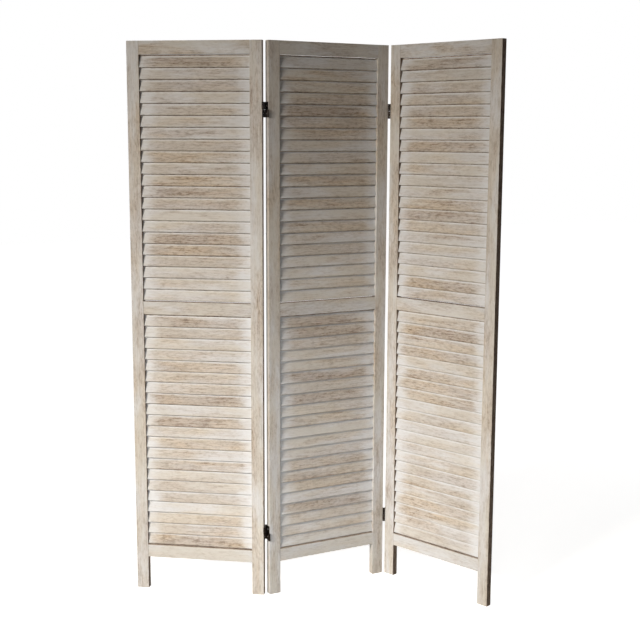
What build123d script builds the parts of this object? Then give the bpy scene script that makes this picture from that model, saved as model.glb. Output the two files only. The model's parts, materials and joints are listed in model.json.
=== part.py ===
from build123d import *
import os

# Folding room divider: three louvred panels joined by double-action hinges, standing half folded.
# The panels' front faces look towards -Y, the middle panel stands along X and the floor is at Z = 0.

# Panel frame, millimetres
panel_width = 410.0
panel_height = 1700.0
panel_thickness = 20.0
stile_width = 37.5
leg_height = 104.0
bottom_rail_height = 40.0
middle_rail_level = 882.0
middle_rail_height = 40.0
top_rail_height = 40.0
edge_round = 1.0
leg_end_chamfer = 0.8

# Fixed louvre slats
slat_width = 38.0
slat_thickness = 6.0
slat_edge_round = 2.6
slat_tilt = 16.0
slat_pitch_wanted = 34.8
slat_gap_above_rail = 3.0
slat_gap_below_rail = 0.6
slat_tenon = 8.0
slat_fit = 0.15
slat_end_gap = 0.3

# Dowels in the corner joints
dowel_diameter = 8.0
dowel_length = 36.0
dowel_fit = 0.03
dowel_end_gap = 0.5

# Double-action hinges
hinge_height = 45.0
hinge_end_distance = 200.0
hinge_gap = 4.6
pin_line_distance = 2.8
barrel_diameter = 6.4
plate_thickness = 1.1
leaf_inset = 0.8
half_gap = 0.6
end_knuckle = 5.3
knuckle_gap = 0.3
pin_diameter = 3.2
pin_press_fit = 0.02
pin_running_fit = 0.06
barrel_clearance = 0.35

# Hinge screws
screw_diameter = 3.0
screw_length = 14.0
screw_head_diameter = 5.2
screw_fit = 0.05
screw_recess_width = 0.8
screw_recess_depth = 0.6
driver_hole_clearance = 0.7

# How far each side panel is folded where it stands, from flat
left_fold = 36.5
right_fold = 71.0

# Sizes worked out from the ones above
bay_width = panel_width - 2 * stile_width
lower_bay_base = leg_height + bottom_rail_height
upper_bay_base = middle_rail_level + middle_rail_height
top_rail_level = panel_height - top_rail_height
front_face = -panel_thickness / 2
back_face = panel_thickness / 2
front_pin_line = front_face - pin_line_distance
back_pin_line = back_face + pin_line_distance
half_height = (hinge_height - half_gap) / 2
link_knuckle = half_height - 2 * end_knuckle - 2 * knuckle_gap
screw_offset = (half_height + half_gap) / 2
groove_depth = slat_tenon + slat_end_gap


def slat_section(margin):
    """Outline of one slat across its length, grown by margin, leaning back at the top."""
    outline = RectangleRounded(
        slat_thickness + 2 * margin, slat_width + 2 * margin, slat_edge_round + margin
    )
    return Plane.YZ * (Rot(Z=-slat_tilt) * outline)


def slat_levels(bay_base, bay_top):
    """Centre heights that share the bay evenly, with a full slat at each end."""
    rise = slat_section(0).bounding_box().size.Z
    first = bay_base + slat_gap_above_rail + rise / 2
    last = bay_top - slat_gap_below_rail - rise / 2
    steps = max(1, round((last - first) / slat_pitch_wanted))
    return [first + (last - first) * step / steps for step in range(steps + 1)]


def bars(levels, margin, reach):
    """Straight bars of the slat's outline across the bay, reaching past both ends of it."""
    bar = extrude(slat_section(margin), bay_width + 2 * reach)
    return [Pos(stile_width - reach, 0, level) * bar for level in levels]


def dowel_places():
    """Centre of each dowel, across every joint of a rail's end and a stile."""
    rails = [
        (leg_height, bottom_rail_height),
        (middle_rail_level, middle_rail_height),
        (top_rail_level, top_rail_height),
    ]
    return [
        Pos(joint, 0, level + height * share)
        for joint in (stile_width, panel_width - stile_width)
        for level, height in rails
        for share in (0.25, 0.75)
    ]


def along_x(diameter, length):
    """Cylinder centred on the origin and lying along X."""
    return Rot(Y=90) * Cylinder(diameter / 2, length)


def stile(left_edge, grooves, dowel_holes):
    """Upright board from the floor to the top, grooved for slat ends and drilled for dowels."""
    board = extrude(RectangleRounded(stile_width, panel_thickness, edge_round), panel_height)
    eased = min(leg_end_chamfer, 0.9 * edge_round)
    board = chamfer(board.faces().sort_by(Axis.Z)[0].edges(), eased)
    board = Pos(left_edge + stile_width / 2, 0, 0) * board
    return board - grooves - dowel_holes


def rail(level, height, dowel_holes):
    """Cross board between the stiles, flush with their faces."""
    outline = Plane.YZ * RectangleRounded(panel_thickness, height, edge_round)
    return Pos(stile_width, 0, level + height / 2) * extrude(outline, bay_width) - dowel_holes


def panel():
    """One louvred panel standing on its legs, with its left edge at X = 0."""
    lower_levels = slat_levels(lower_bay_base, middle_rail_level)
    upper_levels = slat_levels(upper_bay_base, top_rail_level)
    grooves = bars(lower_levels + upper_levels, slat_fit, groove_depth)
    hole = along_x(dowel_diameter + 2 * dowel_fit, dowel_length + 2 * dowel_end_gap)
    dowel_holes = [place * hole for place in dowel_places()]
    dowel = along_x(dowel_diameter, dowel_length)
    return {
        "left_stile": stile(0, grooves, dowel_holes),
        "right_stile": stile(panel_width - stile_width, grooves, dowel_holes),
        "top_rail": rail(top_rail_level, top_rail_height, dowel_holes),
        "middle_rail": rail(middle_rail_level, middle_rail_height, dowel_holes),
        "bottom_rail": rail(leg_height, bottom_rail_height, dowel_holes),
        "upper_slats": bars(upper_levels, 0, slat_tenon),
        "lower_slats": bars(lower_levels, 0, slat_tenon),
        "dowels": [place * dowel for place in dowel_places()],
    }


def upright(diameter, base, length, line):
    """Cylinder along Z on a pin line, standing on the height base."""
    return Pos(0, line, base + length / 2) * Cylinder(diameter / 2, length)


def hinge_leaf(side, pinned):
    """Plate on a panel's edge with a pair of end knuckles in each half.

    side is -1 for the panel on the left of the gap and 1 for the one on the right.
    pinned lists (base height of the half, pin line) for its two halves.
    """
    plate_centre = side * (hinge_gap - plate_thickness) / 2
    leaf = Pos(plate_centre, 0, 0) * Box(
        plate_thickness, panel_thickness - 2 * leaf_inset, hinge_height
    )
    for base, line in pinned:
        for knuckle_base in (base, base + half_height - end_knuckle):
            arm = Box(plate_thickness, abs(line), end_knuckle)
            leaf += Pos(plate_centre, line / 2, knuckle_base + end_knuckle / 2) * arm
            leaf += upright(barrel_diameter, knuckle_base, end_knuckle, line)
    for base, line in pinned:
        leaf -= upright(pin_diameter + 2 * pin_press_fit, base, half_height, line)
    face = side * (hinge_gap / 2 - plate_thickness)
    for height in (-screw_offset, screw_offset):
        leaf -= Pos(0, 0, height) * screw_body(side, face, screw_fit)
    return leaf


def hinge_link(base):
    """Plate across the gap with a middle knuckle on each pin line, filling one half."""
    reach = back_pin_line - barrel_diameter / 2 - barrel_clearance
    middle = base + half_height / 2
    link = Pos(0, 0, middle) * Box(plate_thickness, 2 * reach, half_height)
    link += Pos(0, 0, middle) * Box(plate_thickness, 2 * back_pin_line, link_knuckle)
    for line in (front_pin_line, back_pin_line):
        link += upright(barrel_diameter, middle - link_knuckle / 2, link_knuckle, line)
    for line in (front_pin_line, back_pin_line):
        bore = pin_diameter + 2 * pin_running_fit
        link -= upright(bore, base, half_height, line)
    driver_hole = along_x(screw_head_diameter + 2 * driver_hole_clearance, barrel_diameter)
    height = screw_offset if base > 0 else -screw_offset
    return link - Pos(0, 0, height) * driver_hole


def screw_body(side, face, margin):
    """Countersunk wood screw along X, grown by margin, its flat head on the leaf's open face."""
    head_height = (screw_head_diameter - screw_diameter) / 2
    shank = screw_length + margin
    outline = Polyline(
        (0, 0),
        (screw_head_diameter / 2 + margin, 0),
        (screw_diameter / 2 + margin, head_height),
        (screw_diameter / 2 + margin, shank - screw_diameter),
        (0, shank),
        close=True,
    )
    turned = revolve(Plane.XZ * make_face(outline), Axis.Z)
    return Pos(face, 0, 0) * (Rot(Y=90 * side) * turned)


def screw(side):
    """Hinge screw with a cross recess in its head."""
    face = side * (hinge_gap / 2 - plate_thickness)
    arm = screw_head_diameter * 0.6
    slot = Box(2 * screw_recess_depth, arm, screw_recess_width)
    cross = slot + Rot(X=90) * slot
    return screw_body(side, face, 0) - Pos(face, 0, 0) * cross


def hinge():
    """Double-action hinge laid flat, centred in the gap between two panels.

    The upper link joins the left leaf's front knuckles to the right leaf's back ones and the
    lower link crosses it the other way, so the pair can fold about either pin line.
    """
    upper_base = half_gap / 2
    lower_base = -half_gap / 2 - half_height
    left_pinned = [(upper_base, front_pin_line), (lower_base, back_pin_line)]
    right_pinned = [(upper_base, back_pin_line), (lower_base, front_pin_line)]
    heights = (-screw_offset, screw_offset)
    return {
        "left_leaf": hinge_leaf(-1, left_pinned),
        "right_leaf": hinge_leaf(1, right_pinned),
        "upper_link": hinge_link(upper_base),
        "lower_link": hinge_link(lower_base),
        "left_pins": [upright(pin_diameter, base, half_height, line) for base, line in left_pinned],
        "right_pins": [upright(pin_diameter, base, half_height, line) for base, line in right_pinned],
        "left_screws": [Pos(0, 0, height) * screw(-1) for height in heights],
        "right_screws": [Pos(0, 0, height) * screw(1) for height in heights],
    }


def as_list(shape):
    """The solids of a piece or of a group of pieces."""
    return list(shape) if isinstance(shape, list) else [shape]


def turned_about(point, degrees):
    """Turn in plan about the upright line through point, clockwise seen from above."""
    return Pos(point[0], point[1], 0) * Rot(Z=-degrees) * Pos(-point[0], -point[1], 0)


# Where the panels and hinges go, flat, and how the side panels are then folded
left_gap_centre = -(panel_width + hinge_gap) / 2
right_gap_centre = (panel_width + hinge_gap) / 2
left_fold_line = (left_gap_centre, back_pin_line)
right_fold_line = (right_gap_centre, front_pin_line)
panel_places = {
    "left": turned_about(left_fold_line, left_fold)
    * Pos(left_gap_centre - hinge_gap / 2 - panel_width, 0, 0),
    "middle": Pos(-panel_width / 2, 0, 0),
    "right": turned_about(right_fold_line, right_fold) * Pos(right_gap_centre + hinge_gap / 2, 0, 0),
}
hinge_levels = {"lower": hinge_end_distance, "upper": panel_height - hinge_end_distance}

# The side panel's share of each hinge folds with it, and the rest stays on the middle panel
hinge_sides = {
    "left": {
        "gap": left_gap_centre,
        "turn": turned_about(left_fold_line, left_fold),
        "moving": ["left_leaf", "upper_link", "left_pins", "left_screws"],
    },
    "right": {
        "gap": right_gap_centre,
        "turn": turned_about(right_fold_line, right_fold),
        "moving": ["right_leaf", "upper_link", "right_pins", "right_screws"],
    },
}
hinged_stiles = {
    "left": ["right_stile"],
    "middle": ["left_stile", "right_stile"],
    "right": ["left_stile"],
}


def screw_holes(stile_name):
    """Holes for the hinge screws in the outer edge of a stile, in the panel's own frame."""
    side = 1 if stile_name == "left_stile" else -1
    edge = 0 if stile_name == "left_stile" else panel_width
    gap_centre = edge - side * hinge_gap / 2
    hole = screw_body(side, side * (hinge_gap / 2 - plate_thickness), screw_fit)
    return [
        Pos(gap_centre, 0, level + height) * hole
        for level in hinge_levels.values()
        for height in (-screw_offset, screw_offset)
    ]


panel_pieces = panel()
hinge_pieces = hinge()
nodes = {}
for panel_name, place in panel_places.items():
    for piece_name, piece in panel_pieces.items():
        if piece_name in hinged_stiles[panel_name]:
            piece = piece - screw_holes(piece_name)
        nodes[f"{panel_name}_panel_{piece_name}"] = [place * solid for solid in as_list(piece)]
for side_name, side in hinge_sides.items():
    for level_name, level in hinge_levels.items():
        for piece_name, piece in hinge_pieces.items():
            place = Pos(side["gap"], 0, level)
            if piece_name in side["moving"]:
                place = side["turn"] * place
            node = f"{side_name}_{level_name}_hinge_{piece_name}"
            nodes[node] = [place * solid for solid in as_list(piece)]

# The origin is the centre of the floor area that the standing divider covers
boxes = [solid.bounding_box() for solids in nodes.values() for solid in solids]
centre_x = (min(box.min.X for box in boxes) + max(box.max.X for box in boxes)) / 2
centre_y = (min(box.min.Y for box in boxes) + max(box.max.Y for box in boxes)) / 2
to_origin = Pos(-centre_x, -centre_y, 0)

os.makedirs("parts", exist_ok=True)
for node, solids in nodes.items():
    moved = [to_origin * solid for solid in solids]
    export_step(Compound(children=moved), f"parts/{node}.step")
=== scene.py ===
import json
import math
import bpy
import numpy as np
from mathutils import Matrix, Vector


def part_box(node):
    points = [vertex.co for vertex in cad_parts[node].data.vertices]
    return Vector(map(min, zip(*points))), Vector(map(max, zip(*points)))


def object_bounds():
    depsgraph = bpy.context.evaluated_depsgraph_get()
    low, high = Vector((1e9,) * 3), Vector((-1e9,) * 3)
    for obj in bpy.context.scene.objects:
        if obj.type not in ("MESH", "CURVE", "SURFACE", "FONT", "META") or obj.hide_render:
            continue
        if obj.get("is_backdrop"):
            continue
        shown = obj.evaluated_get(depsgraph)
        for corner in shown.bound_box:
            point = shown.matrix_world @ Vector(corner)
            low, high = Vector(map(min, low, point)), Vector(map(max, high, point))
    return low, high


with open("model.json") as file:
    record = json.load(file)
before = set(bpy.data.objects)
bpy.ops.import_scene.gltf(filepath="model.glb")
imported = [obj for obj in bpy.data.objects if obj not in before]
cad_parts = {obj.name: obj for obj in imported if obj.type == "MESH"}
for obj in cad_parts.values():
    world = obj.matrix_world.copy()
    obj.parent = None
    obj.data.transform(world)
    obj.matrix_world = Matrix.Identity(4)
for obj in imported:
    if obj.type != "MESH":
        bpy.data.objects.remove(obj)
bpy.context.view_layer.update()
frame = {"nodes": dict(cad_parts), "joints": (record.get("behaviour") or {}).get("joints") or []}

# Stiles
# Each panel hangs between two full-height boards whose lower ends are its legs. They are
# light softwood with straight grain up the board, brushed with thin grey-white wash and
# rubbed back, so that the grain shows tan through it.


class Recipe:
    """A finish being mixed. A call adds nodes and gives what comes out of the last one."""

    def __init__(self, name, collection=bpy.data.materials):
        self.owner = collection.new(name)
        self.owner.use_nodes = True
        self.tree = self.owner.node_tree
        self.tree.nodes.clear()

    def add(self, kind, *feeds, **settings):
        """One node, with its own settings, fed in the order of its sockets."""
        node = self.tree.nodes.new("ShaderNode" + kind)
        for key, value in settings.items():
            setattr(node, key, value)
        for socket, feed in zip(node.inputs, feeds):
            if isinstance(feed, bpy.types.NodeSocket):
                self.tree.links.new(feed, socket)
            elif feed is not None:
                socket.default_value = feed
        return node.outputs[0]

    def sum(self, a, b):
        return self.add("Math", a, b, operation="ADD")

    def difference(self, a, b):
        return self.add("Math", a, b, operation="SUBTRACT")

    def times(self, a, b):
        return self.add("Math", a, b, operation="MULTIPLY")

    def larger(self, a, b):
        return self.add("Math", a, b, operation="MAXIMUM")

    def step(self, value, low, high, at_low=0.0, at_high=1.0):
        """Goes smoothly from at_low to at_high as the value passes from low to high."""
        feeds = (value, low, high, at_low, at_high)
        return self.add("MapRange", *feeds, interpolation_type="SMOOTHSTEP")

    def mixed(self, share, under, over, blend="MIX"):
        return self.add("MixRGB", share, under, over, blend_type=blend)

    def place(self):
        """Where a point is, on the object's own axes, in metres."""
        return self.add("TexCoord").node.outputs["Object"]

    def parts(self, vector):
        """The three parts of a vector."""
        return tuple(self.add("SeparateXYZ", vector).node.outputs)

    def noise(self, along, across, other, scales, detail=2.0, roughness=0.5):
        """Noise with its own scale, in cycles a metre, along each of three directions."""
        directions = zip((along, across, other), scales)
        place = self.add("CombineXYZ", *(self.times(way, scale) for way, scale in directions))
        return self.add("TexNoise", place, None, 1.0, detail, roughness)

    def chance(self, number):
        """A value from 0 to 1 at random, a new one for every number."""
        return self.add("TexWhiteNoise", None, number, noise_dimensions="1D")

    def show(self, surface, output="OutputMaterial"):
        """Ends the recipe with a shader on the surface, and gives the finish."""
        end = self.tree.nodes.new("ShaderNode" + output)
        self.tree.links.new(surface, end.inputs["Surface"])
        return self.owner

    def finish(self, colour, roughness, height, bump_distance, specular=0.35, metallic=0.0):
        """Ends the recipe with a principled shader, and gives the finish.

        Its bump raises the surface by height times bump_distance, in metres.
        """
        bump = self.add("Bump", 1.0, bump_distance, None, height)
        shader = self.add("BsdfPrincipled").node
        self.tree.links.new(colour, shader.inputs["Base Color"])
        self.tree.links.new(roughness, shader.inputs["Roughness"])
        self.tree.links.new(bump, shader.inputs["Normal"])
        shader.inputs["Specular IOR Level"].default_value = specular
        shader.inputs["Metallic"].default_value = metallic
        return self.show(shader.outputs[0])


def wear(node, material):
    """Gives a node of the frame a finished material in place of its plain one."""
    for slot in frame["nodes"][node].material_slots:
        slot.material = material


panels = ("left", "middle", "right")
joints = {joint["name"]: joint for joint in frame["joints"]}
middle_low, middle_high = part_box("middle_panel_left_stile")
stile_width = middle_high.x - middle_low.x
panel_left = middle_low.x
panel_depth_centre = (middle_low.y + middle_high.y) / 2
panel_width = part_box("middle_panel_right_stile")[1].x - panel_left
# A fold line stands at the middle of its gap
hinge_gap = 2 * (panel_left - joints["left_fold"]["pos_m"][0])


def panel_axes(recipe, panel):
    """Place on a panel's own axes: across from its left edge, behind its mid-plane, and up.

    A side panel is turned back about its fold line to where it lies flat beside the middle
    one: p' = R(fold) p + (pivot - R(fold) pivot), then measured from its own left edge.
    """
    turn, shift, left = 0.0, Vector((0, 0, 0)), panel_left
    if panel != "middle":
        joint = joints[panel + "_fold"]
        turn = math.radians(-joint["range_deg"][0])
        pivot = Vector(joint["pos_m"])
        pivot.z = 0
        shift = pivot - Matrix.Rotation(turn, 3, "Z") @ pivot
        left += (panel_width + hinge_gap) * (1 if panel == "right" else -1)
    shift = shift - Vector((left, panel_depth_centre, 0))
    return recipe.parts(recipe.add("Mapping", recipe.place(), tuple(shift), (0.0, 0.0, turn)))


# The wash and the wood under it
warm_wash = (0.65, 0.635, 0.605, 1.0)
cool_wash = (0.685, 0.70, 0.73, 1.0)
yellow_wood = (0.565, 0.45, 0.33, 1.0)
brown_wood = (0.47, 0.385, 0.32, 1.0)
wash_roughness = 0.6
wood_roughness = 0.8
board_grain_depth = 0.0005

# Patterns of the grain and the wash, in cycles a metre along the grain, across it and from
# one board's number to the next
streak_pattern = {"scales": (9.0, 330.0, 7.0), "detail": 4.0, "roughness": 0.65}
figure_pattern = {"scales": (3.4, 40.0, 3.1), "detail": 2.0, "roughness": 0.5}
fibre_pattern = {"scales": (95.0, 620.0, 5.0), "detail": 3.0, "roughness": 0.6}
dash_pattern = {"scales": (62.0, 190.0, 9.0), "detail": 3.0, "roughness": 0.65}
cloud_pattern = {"scales": (13.0, 48.0, 11.0), "detail": 4.0, "roughness": 0.6}
cool_pattern = {"scales": (4.0, 21.0, 2.0), "detail": 2.0, "roughness": 0.5}
# Radians of rings from 0 to 1 of the figure
ring_radians = 80.0
# How far the wash thins over its clouds, and how high the streaks stand over the marks
cloud_thinning = 0.22
streak_height = 0.7
# Dark marks turn brown, because green and blue fall off by these powers of red's shade
green_power = 1.12
blue_power = 1.25


def whitewash(recipe, along, across, board, worn, tone, fresh=0.0, brightness=1.0):
    """Thin wash over grain: gives its colour, roughness and height.

    worn, from 0 to 1, is how far the wash is rubbed off, and tone goes from yellow wood at 0
    to brown at 1. fresh is how much cooler, thicker wash lies, and brightness scales the
    whole colour. The rings are the sine of a noise stretched 12 to 1 along the grain, so
    they follow its contour lines, as a plain-sawn board cuts its rings. Streaks, short
    fibres and dashes are finer noises.
    """
    streaks = recipe.noise(along, across, board, **streak_pattern)
    figure = recipe.noise(along, across, board, **figure_pattern)
    rings = recipe.add("Math", recipe.times(figure, ring_radians), operation="SINE")
    fibres = recipe.noise(along, across, board, **fibre_pattern)
    dashes = recipe.noise(along, across, board, **dash_pattern)
    clouds = recipe.noise(along, across, board, **cloud_pattern)
    coolness = recipe.step(recipe.noise(along, across, board, **cool_pattern), 0.40, 0.62)
    coolness = recipe.add("Clamp", recipe.sum(coolness, fresh), 0.0, 1.0)
    wash = recipe.mixed(coolness, warm_wash, cool_wash)
    wood = recipe.mixed(tone, yellow_wood, brown_wood)

    # Wood shows in the rubbed patch and where the wash lies thin, and most on raised streaks
    shown = recipe.sum(worn, recipe.step(clouds, 0.38, 0.75, at_high=cloud_thinning))
    shown = recipe.times(shown, recipe.step(streaks, 0.3, 0.62, at_low=0.75, at_high=1.15))
    shown = recipe.add("Clamp", shown, 0.0, 1.0)

    def marks(pattern, in_wash, more_in_wood):
        """Marks of a pattern, faint in the wash and stronger the more of the wood shows."""
        strength = recipe.sum(recipe.times(shown, more_in_wood), in_wash)
        return recipe.times(pattern, strength)

    lines = recipe.sum(
        recipe.step(rings, -0.3, 1.0, at_high=0.5),
        recipe.step(streaks, 0.5, 0.72, at_high=0.5),
    )
    lines = marks(lines, in_wash=0.03, more_in_wood=0.42)
    specks = marks(recipe.step(fibres, 0.56, 0.72), in_wash=0.06, more_in_wood=0.44)
    dashes = marks(recipe.step(dashes, 0.45, 0.64), in_wash=0.03, more_in_wood=0.36)
    dark = recipe.sum(lines, recipe.sum(specks, dashes))
    shade = recipe.difference(1.0, dark)
    shade = recipe.times(shade, recipe.step(clouds, 0.25, 0.75, at_low=0.96, at_high=1.04))
    shade = recipe.times(shade, brightness)
    shade_green = recipe.add("Math", shade, green_power, operation="POWER")
    shade_blue = recipe.add("Math", shade, blue_power, operation="POWER")
    shades = recipe.add("CombineXYZ", shade, shade_green, shade_blue)
    colour = recipe.mixed(1.0, recipe.mixed(shown, wash, wood), shades, "MULTIPLY")
    roughness = recipe.step(shown, 0.0, 1.0, wash_roughness, wood_roughness)
    height = recipe.difference(recipe.times(streaks, streak_height), dark)
    return colour, roughness, height


def board_wear(recipe, along, across, board, least, most, drift):
    """A flat board's rubbed patches, from least to most, and its wood's tone.

    drift is how fast the patches change from one board's number to the next.
    """
    rubbed = recipe.noise(along, across, board, (5.5, 24.0, drift), detail=4.0, roughness=0.6)
    tone = recipe.noise(along, across, board, (3.0, 12.0, 5.3))
    return recipe.step(rubbed, 0.36, 0.72, least, most), recipe.step(tone, 0.35, 0.65)


# Painted shade, as bare brown wood on an edge in shadow, starts just inside the arris
arris_width = 0.0009
arris_blend = 0.0006
# How much of the left stile's shaded side beside the slats is painted as bare wood, and how much
# painted shade darkens the stiles' bare faces
inner_side_shade = 0.85
painted_shade_brightness = 0.5
# The pattern on a board's face runs on round the arris by this share of the depth
depth_share = 0.7


def past_arris(recipe, distance, edge, most=1.0):
    """Rises from 0 to most as a distance, in metres, comes to a board's edge."""
    arris = edge - arris_width
    return recipe.step(distance, arris, arris + arris_blend, 0.0, most)


def paint_shade_as_bare_wood(recipe, rubbed, tone, painted_shade_mask, brownness=1.6):
    """Painted shade as bare wood: where the mask is 1 there is no wash, and the wood is brown."""
    tone = recipe.larger(tone, recipe.times(painted_shade_mask, brownness))
    return recipe.larger(rubbed, painted_shade_mask), tone


for seed, panel in enumerate(panels):
    for side in ("left", "right"):
        recipe = Recipe(f"washed_stile_{panel}_{side}")
        across, depth, up = panel_axes(recipe, panel)
        girth = recipe.sum(across, recipe.times(depth, depth_share))
        # Each board has a number of its own, which picks its grain
        board = 1.7 + 2.3 * seed + (1.1 if side == "right" else 0.0)
        rubbed, tone = board_wear(recipe, up, girth, board, least=0.06, most=0.5, drift=1.9)
        towards_slats = recipe.sum(across, -stile_width / 2)
        if side == "right":
            towards_slats = recipe.difference(panel_width - stile_width / 2, across)
        # Painted shade: the left stile's side beside the slats, the divider's two outer edges and
        # the left panel's edge at its hinges stand in shadow, so they are painted as bare brown
        # wood and darkened
        inner_side = inner_side_shade if side == "left" else 0.0
        painted_shade_mask = past_arris(recipe, towards_slats, stile_width / 2, inner_side)
        if panel in (side, "left"):
            towards_edge = recipe.times(towards_slats, -1.0)
            painted_shade_mask = recipe.larger(painted_shade_mask, past_arris(recipe, towards_edge, stile_width / 2))
        rubbed, tone = paint_shade_as_bare_wood(recipe, rubbed, tone, painted_shade_mask)
        # Painted shade: the shaded bare faces come out darker by this factor
        shade = recipe.step(painted_shade_mask, 0.0, inner_side_shade, at_low=1.0, at_high=painted_shade_brightness)
        surface = whitewash(recipe, up, girth, board, rubbed, tone, brightness=shade)
        wear(f"{panel}_panel_{side}_stile", recipe.finish(*surface, board_grain_depth))

# Rails
# Three cross boards join each pair of stiles at the top, at the middle and above the legs.
# They are of the same wood and wash, with the grain lying across the panel, and turned
# hardwood dowels hold them.
rail_numbers = {"top": 0.4, "middle": 1.3, "bottom": 2.6}
rail_most_rubbed = {"top": 0.6, "middle": 0.4, "bottom": 0.15}
dowel_pale = (0.62, 0.47, 0.30, 1.0)
dowel_dark = (0.40, 0.27, 0.15, 1.0)
dowel_pattern = {"scales": (40.0, 900.0, 900.0), "detail": 3.0, "roughness": 0.5}
dowel_grain_depth = 0.0002
dowel_wood = Recipe("dowel_wood")
grain = dowel_wood.noise(*dowel_wood.parts(dowel_wood.place()), **dowel_pattern)
dowel_finish = dowel_wood.finish(
    dowel_wood.mixed(grain, dowel_pale, dowel_dark),
    dowel_wood.step(grain, 0.0, 1.0, at_low=0.5, at_high=0.7),
    grain,
    dowel_grain_depth,
)
for seed, panel in enumerate(panels):
    wear(f"{panel}_panel_dowels", dowel_finish)
    for level, number in rail_numbers.items():
        recipe = Recipe(f"washed_rail_{panel}_{level}")
        across, depth, up = panel_axes(recipe, panel)
        girth = recipe.sum(up, recipe.times(depth, depth_share))
        board = number + 3.7 * seed
        most = rail_most_rubbed[level]
        rubbed, tone = board_wear(recipe, across, girth, board, least=0.04, most=most, drift=2.3)
        if level != "top":
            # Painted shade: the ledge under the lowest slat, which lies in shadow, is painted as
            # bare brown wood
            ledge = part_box(f"{panel}_panel_{level}_rail")[1].z
            rubbed, tone = paint_shade_as_bare_wood(recipe, rubbed, tone, past_arris(recipe, up, ledge))
        surface = whitewash(recipe, across, girth, board, rubbed, tone)
        wear(f"{panel}_panel_{level}_rail", recipe.finish(*surface, board_grain_depth))

# Louvre slats
# Thin slats with rounded edges, leaning back at the top and let into grooves in the stiles.
# Each was washed before it was sanded, so it is white at its ends and edges and worn to
# tan wood with its own figure in the middle.
slat_width = 0.038
slat_thickness = 0.006
slat_edge_round = 0.0026
slat_tilt = math.radians(16.0)
slat_count = 21
# How high a slat stands from its lowest point to its highest, with its edges round
slat_rise = 2 * (
    (slat_width / 2 - slat_edge_round) * math.cos(slat_tilt)
    + (slat_thickness / 2 - slat_edge_round) * math.sin(slat_tilt)
    + slat_edge_round
)
wander_pattern = {"scales": (9.0, 14.0, 1.7), "detail": 3.0, "roughness": 0.6}
patch_pattern = {"scales": (3.6, 30.0, 1.0), "detail": 4.0, "roughness": 0.6}
tone_pattern = {"scales": (3.0, 16.0, 3.9), "detail": 2.0, "roughness": 0.5}
# A slat's board has its chance times this as its number
board_spread = 40.0
# How hard the slats were rubbed, and the least of that outside a patch
least_rubbed = 0.34
most_rubbed = 0.64
patch_floor = 0.12
# Where patches fade, in metres from a slat's end, which wanders by up to end_wander
end_fade_from = -0.045
end_fade_to = 0.015
end_wander = 0.09
# How thick and how bright the wash stays on the ends and along the top edge
thick_wash = 0.6
bright_end = 1.05
bright_edge = 1.12
face_brightness = 0.99


def slat_axes(recipe, depth, up, lowest, pitch):
    """Which slat a point is on, counted from the lowest, and its place on that slat.

    A slat's mid-plane crosses the panel's at its own level, up - depth / tan(tilt). With
    over as the height above the slat's centre, chord = over cos(tilt) + depth sin(tilt) runs
    from its lower front edge to its upper back one, and through = depth cos(tilt) - over
    sin(tilt) from its front face to its back one.
    """
    lean, rise = math.sin(slat_tilt), math.cos(slat_tilt)
    level = recipe.difference(up, recipe.times(depth, 1 / math.tan(slat_tilt)))
    pitches = recipe.times(recipe.sum(level, -lowest), 1 / pitch)
    slat = recipe.add("Math", pitches, operation="ROUND")
    over = recipe.difference(recipe.sum(up, -lowest), recipe.times(slat, pitch))
    chord = recipe.sum(recipe.times(over, rise), recipe.times(depth, lean))
    through = recipe.difference(recipe.times(depth, rise), recipe.times(over, lean))
    return slat, chord, through


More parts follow.
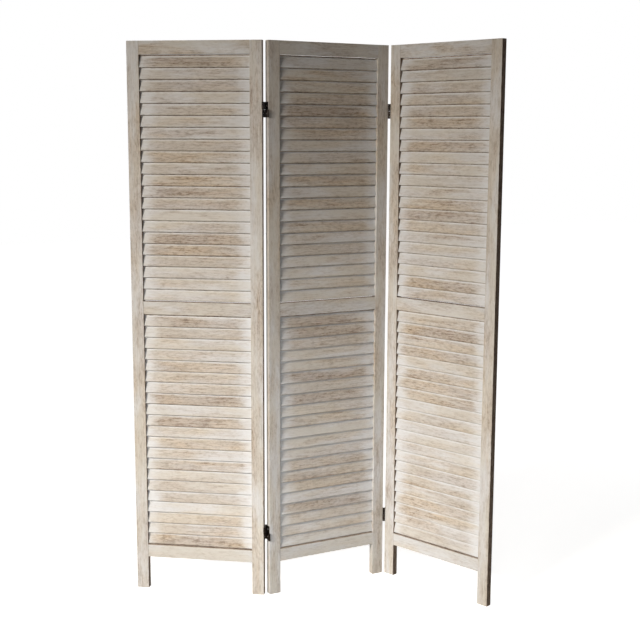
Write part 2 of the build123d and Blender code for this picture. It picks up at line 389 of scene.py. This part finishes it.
for seed, panel in enumerate(panels):
    for bay_seed, bay in enumerate(("lower", "upper")):
        low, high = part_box(f"{panel}_panel_{bay}_slats")
        lowest = low.z + slat_rise / 2
        pitch = (high.z - low.z - slat_rise) / (slat_count - 1)
        recipe = Recipe(f"washed_slats_{panel}_{bay}")
        across, depth, up = panel_axes(recipe, panel)
        slat, chord, through = slat_axes(recipe, depth, up, lowest, pitch)
        chord_share = recipe.times(chord, 2 / slat_width)
        # Two chances for each slat. One picks its board and how hard it was rubbed, and the
        # other how much of it was. The numbers added keep the six banks apart
        chance = recipe.chance(recipe.sum(slat, 7.3 + 31 * bay_seed + 101 * seed))
        other_chance = recipe.chance(recipe.sum(slat, 53.9 + 37 * bay_seed + 89 * seed))
        board = recipe.times(chance, board_spread)
        # Rubbed patches fade out before the ends, each slat's at its own place, and below
        # the top edge
        from_middle = recipe.sum(across, -panel_width / 2)
        from_middle = recipe.add("Math", from_middle, operation="ABSOLUTE")
        from_end = recipe.difference(panel_width / 2 - stile_width, from_middle)
        wander = recipe.noise(across, chord, board, **wander_pattern)
        from_end = recipe.difference(from_end, recipe.times(wander, end_wander))
        inside = recipe.step(from_end, end_fade_from, end_fade_to)
        face = recipe.step(chord_share, 0.8, 0.3)
        patch = recipe.noise(across, chord, board, **patch_pattern)
        threshold = recipe.step(other_chance, 0.0, 1.0, at_low=0.55, at_high=0.33)
        past_threshold = recipe.difference(patch, threshold)
        patch = recipe.step(past_threshold, -0.16, 0.2, at_low=patch_floor)
        rubbed = recipe.times(recipe.times(patch, inside), face)
        rubbed = recipe.times(rubbed, recipe.step(chance, 0.0, 1.0, least_rubbed, most_rubbed))
        tone = recipe.step(recipe.noise(across, chord, board, **tone_pattern), 0.38, 0.6)
        # Painted shade: the wash is left off and the wood is brown where the next slat laps over
        # it, high on the front and low on the back, which draws the dark shadow line under each
        # slat
        facing = recipe.step(through, 0.001, -0.001, at_low=-1.0, at_high=1.0)
        lap_shade = recipe.step(recipe.times(chord_share, facing), 0.7, 0.82)
        rubbed, tone = paint_shade_as_bare_wood(recipe, rubbed, tone, lap_shade, brownness=1.4)
        # Thick wash stays on the ends and along the top edge
        top_edge = recipe.step(chord_share, 0.35, 0.75)
        fresh = recipe.sum(thick_wash, recipe.times(inside, -thick_wash))
        fresh = recipe.sum(fresh, recipe.times(top_edge, thick_wash))
        brightness = recipe.times(
            recipe.step(chord_share, 0.4, 0.78, at_low=face_brightness, at_high=bright_edge),
            recipe.step(inside, 0.0, 1.0, at_low=bright_end, at_high=1.0),
        )
        surface = whitewash(recipe, across, chord, board, rubbed, tone, fresh, brightness)
        wear(f"{panel}_panel_{bay}_slats", recipe.finish(*surface, board_grain_depth))

# Double-action hinges
# Pressed steel leaves and crossed links with rolled knuckles and pins, all in dark bronze
# that is rubbed brighter in fine scratches. Plated screws hold the leaves to the stiles.
bronze_dark = (0.012, 0.0075, 0.0055, 1.0)
bronze_brown = (0.046, 0.027, 0.016, 1.0)
bronze_rubbed = (0.12, 0.075, 0.045, 1.0)
bronze_pattern = {"scales": (160.0, 160.0, 110.0), "detail": 4.0, "roughness": 0.6}
scratch_pattern = {"scales": (900.0, 900.0, 60.0), "detail": 3.0, "roughness": 0.6}
scratch_depth = 0.00008
bronze = Recipe("dark_bronze")
place = bronze.parts(bronze.place())
cloud = bronze.noise(*place, **bronze_pattern)
scratch = bronze.noise(*place, **scratch_pattern)
bronze_colour = bronze.mixed(bronze.step(cloud, 0.4, 0.75), bronze_dark, bronze_brown)
rubbed = bronze.step(scratch, 0.62, 0.8, at_high=0.5)
bronze_finish = bronze.finish(
    bronze.mixed(rubbed, bronze_colour, bronze_rubbed),
    bronze.step(cloud, 0.2, 0.8, at_low=0.32, at_high=0.55),
    scratch,
    scratch_depth,
    specular=0.5,
    metallic=0.6,
)

plate_bright = (0.84, 0.82, 0.80, 1.0)
plate_dull = (0.62, 0.60, 0.58, 1.0)
turning_pattern = {"scales": (300.0, 300.0, 2200.0), "detail": 3.0, "roughness": 0.6}
turning_depth = 0.00005
steel = Recipe("plated_steel")
turning = steel.noise(*steel.parts(steel.place()), **turning_pattern)
steel_finish = steel.finish(
    steel.mixed(turning, plate_bright, plate_dull),
    steel.step(turning, 0.2, 0.8, at_low=0.3, at_high=0.5),
    turning,
    turning_depth,
    specular=0.5,
    metallic=0.2,
)

bronze_pieces = ("left_leaf", "right_leaf", "upper_link", "lower_link", "left_pins", "right_pins")
for junction in ("left", "right"):
    for level in ("lower", "upper"):
        for piece in bronze_pieces:
            wear(f"{junction}_{level}_hinge_{piece}", bronze_finish)
        for piece in ("left_screws", "right_screws"):
            wear(f"{junction}_{level}_hinge_{piece}", steel_finish)

# Floor
# A plain pale studio floor of matt board: one flat square, with its corners at plus and
# minus its reach. To the camera it glows like the surround, more so further off, and it
# keeps the divider's shadow.
floor_reach = 12.0
floor_colour = (0.80, 0.80, 0.79, 1.0)
glow_colour = (1.0, 1.0, 1.0, 1.0)
glow_grows_from = 0.6
glow_grows_to = 3.0
glow_near = 0.86
glow_far = 1.0
floor_mesh = bpy.data.meshes.new("floor")
corners = np.array([(-1, -1, 0), (1, -1, 0), (1, 1, 0), (-1, 1, 0)]) * floor_reach
floor_mesh.from_pydata(corners.tolist(), [], [(0, 1, 2, 3)])
floor = bpy.data.objects.new("floor", floor_mesh)
bpy.context.scene.collection.objects.link(floor)
floor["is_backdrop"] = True
ground = Recipe("pale_floor")
away = ground.add("VectorMath", ground.place(), operation="LENGTH").node.outputs["Value"]
strength = ground.step(away, glow_grows_from, glow_grows_to, glow_near, glow_far)
seen = ground.add("LightPath").node.outputs["Is Camera Ray"]
glow = ground.add("Emission", glow_colour, ground.times(seen, strength))
matt = ground.add("BsdfDiffuse", floor_colour)
floor_mesh.materials.append(ground.show(ground.add("AddShader", matt, glow)))

# Surround
# White where the camera or a glossy finish sees it, and a dim warm fill for everything else,
# as a white studio with its lamps on one side.
seen_colour = (1.0, 1.0, 1.0, 1.0)
seen_strength = 1.0
fill_colour = (1.0, 0.92, 0.82, 1.0)
fill_strength = 0.06
surround = Recipe("white_surround", bpy.data.worlds)
path = surround.add("LightPath").node.outputs
direct = surround.larger(path["Is Camera Ray"], path["Is Glossy Ray"])
fill = surround.add("Background", fill_colour, fill_strength)
white = surround.add("Background", seen_colour, seen_strength)
both = surround.add("MixShader", direct, fill, white)
bpy.context.scene.world = surround.show(both, "OutputWorld")

# Studio light
# A broad warm lamp far to the left lights the fronts. A small, faint one near the camera
# lifts their lower half, and a low one behind lights the backs.


def soft_light(name, bearing, distance, height, target, size, power, colour, spread):
    """A wide lamp on a bearing, counted from the front towards the left, that faces a target.

    It stands at x = -distance sin(bearing), y = -distance cos(bearing). size is its width
    and height, and spread is how far its grid lets light out. Both angles are in degrees.
    """
    turn = math.radians(bearing)
    place = Vector((-distance * math.sin(turn), -distance * math.cos(turn), height))
    data = bpy.data.lights.new(name, "AREA")
    data.shape = "RECTANGLE"
    data.size, data.size_y = size
    data.energy = power
    data.color = colour
    data.spread = math.radians(spread)
    lamp = bpy.data.objects.new(name, data)
    bpy.context.scene.collection.objects.link(lamp)
    lamp.location = place
    lamp.rotation_mode = "QUATERNION"
    lamp.rotation_quaternion = (Vector(target) - place).to_track_quat("-Z", "Y")


soft_light(
    "key",
    bearing=70,
    distance=5.5,
    height=2.8,
    target=(0, 0, 0.02),
    size=(2.0, 0.5),
    power=27.0,
    colour=(1.0, 0.92, 0.81),
    spread=48,
)
soft_light(
    "low",
    bearing=30,
    distance=2.3,
    height=1.35,
    target=(0, 0, 0.15),
    size=(0.6, 0.4),
    power=1.35,
    colour=(0.90, 0.96, 1.0),
    spread=50,
)
soft_light(
    "back",
    bearing=215,
    distance=3.4,
    height=0.3,
    target=(0, 0, 1.0),
    size=(0.9, 0.9),
    power=13,
    colour=(1.0, 0.96, 0.90),
    spread=58,
)

# Camera
# Stands to the front left, at chest height, and looks a little down. Its place is in metres
# and its angles are in radians, and both were fitted to the photograph, which is square.
camera_place = (-1.5845, -3.0512, 1.4262)
camera_heading = 0.4868
camera_pitch = 0.1589
camera_roll = 0.0041
focal_pixels = 1153.25
frame_pixels = 640
sensor_width = 36.0
data = bpy.data.cameras.new("camera")
data.sensor_width = sensor_width
data.lens = sensor_width * focal_pixels / frame_pixels
camera = bpy.data.objects.new("camera", data)
bpy.context.scene.collection.objects.link(camera)
camera.matrix_world = (
    Matrix.Translation(camera_place)
    @ Matrix.Rotation(-camera_heading, 4, "Z")
    @ Matrix.Rotation(math.pi / 2 - camera_pitch, 4, "X")
    @ Matrix.Rotation(camera_roll, 4, "Z")
)
bpy.context.scene.camera = camera
bpy.context.scene.view_settings.view_transform = "Standard"

low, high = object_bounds()
